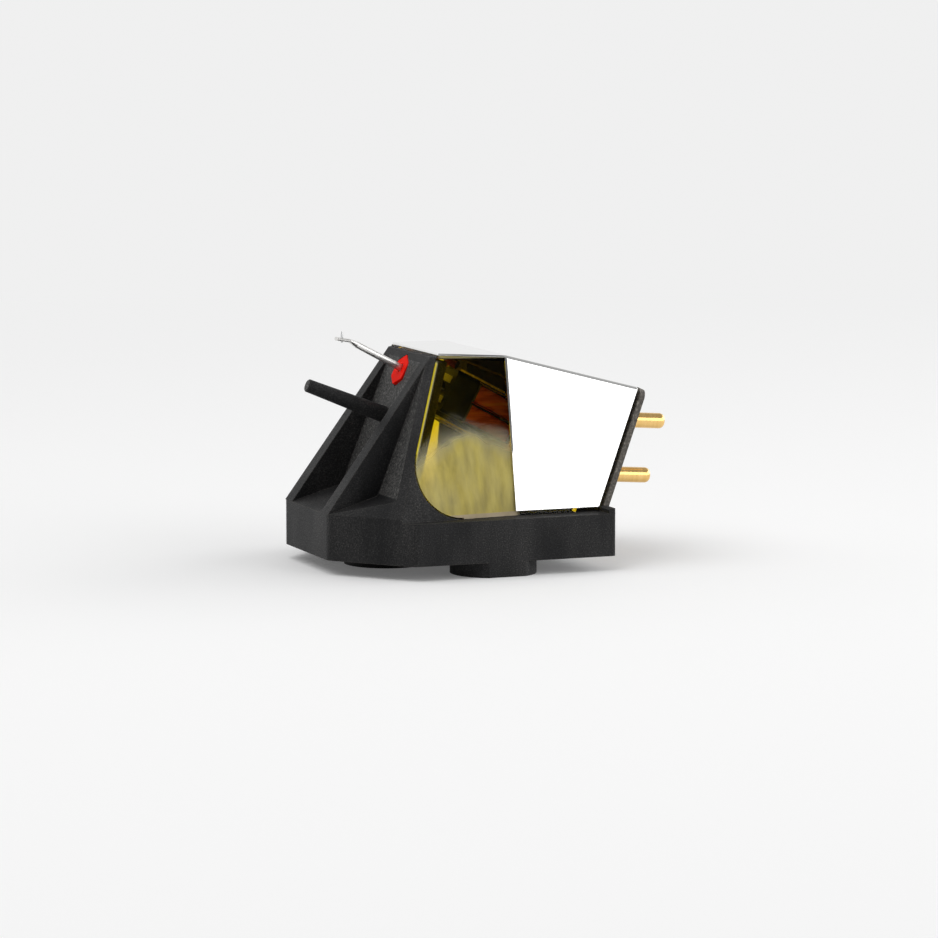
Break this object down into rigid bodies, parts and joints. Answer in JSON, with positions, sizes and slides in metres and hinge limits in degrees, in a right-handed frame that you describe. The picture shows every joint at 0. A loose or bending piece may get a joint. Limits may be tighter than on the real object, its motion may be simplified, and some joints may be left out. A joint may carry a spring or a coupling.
{
  "type": "phono cartridge",
  "caption": "Moving-magnet phono cartridge: black flanged body with guard finger, amber windows under a folded mirror can, sprung cantilever with stylus, rear output pins, tapped pads.",
  "frame": {"origin": "midway between the two side mounting holes, on the mounting plane of the pads", "axes": "+X to the rear where the output pins are, +Y to the left hand side as it stands on its pads with the pins to the right, +Z from the mounting plane towards the stylus"},
  "size_m": [0.0236, 0.0176, 0.015],
  "materials": {
    "body": "fine spark-eroded matt black",
    "amber": "clear amber moulding",
    "can": "mirror-polished stainless sheet",
    "plate": "sawn black fibre board",
    "pins": "bright gilt",
    "cantilever": "drawn tube",
    "diamond": "ground diamond",
    "damper": "red rubber",
    "collar": "turned",
    "magnet": "plated sintered magnet",
    "tie_wire": "drawn wire",
    "anchor": "turned",
    "holder": "moulded",
    "poles": "annealed soft-magnetic sheet",
    "bobbins": "moulded",
    "coils": "enamelled copper winding",
    "leads": "enamelled copper"
  },
  "bodies": {
    "cartridge": {"amber_cover": "amber", "bobbin_left_high": "bobbins", "bobbin_left_low": "bobbins", "bobbin_right_high": "bobbins", "bobbin_right_low": "bobbins", "body": "body", "coil_left_high": "coils", "coil_left_low": "coils", "coil_right_high": "coils", "coil_right_low": "coils", "generator_holder": "holder", "lead_left_high": "leads", "lead_left_low": "leads", "lead_right_high": "leads", "lead_right_low": "leads", "output_pin_left_high": "pins", "output_pin_left_low": "pins", "output_pin_right_high": "pins", "output_pin_right_low": "pins", "pole_yoke_left": "poles", "pole_yoke_right": "poles", "screening_can": "can", "terminal_plate": "plate", "tie_wire": "tie_wire", "wire_anchor": "anchor"},
    "damper": {"suspension_damper": "damper"},
    "stylus": {"cantilever": "cantilever", "stylus_tip": "diamond", "magnet_collar": "collar", "magnet": "magnet"}
  },
  "joints": [
    {"name": "lateral_swing", "type": "hinge", "parent": "cartridge", "child": "damper", "pos_m": [-0.00317, 0, 0.01215], "axis": [0.4679, 0, 0.8838], "range_deg": [-3, 3], "stiffness_Nm_per_rad": 0.0025},
    {"name": "vertical_swing", "type": "hinge", "parent": "damper", "child": "stylus", "pos_m": [-0.00317, 0, 0.01215], "axis": [0, 1, 0], "range_deg": [-3, 3], "stiffness_Nm_per_rad": 0.0025}
  ]
}
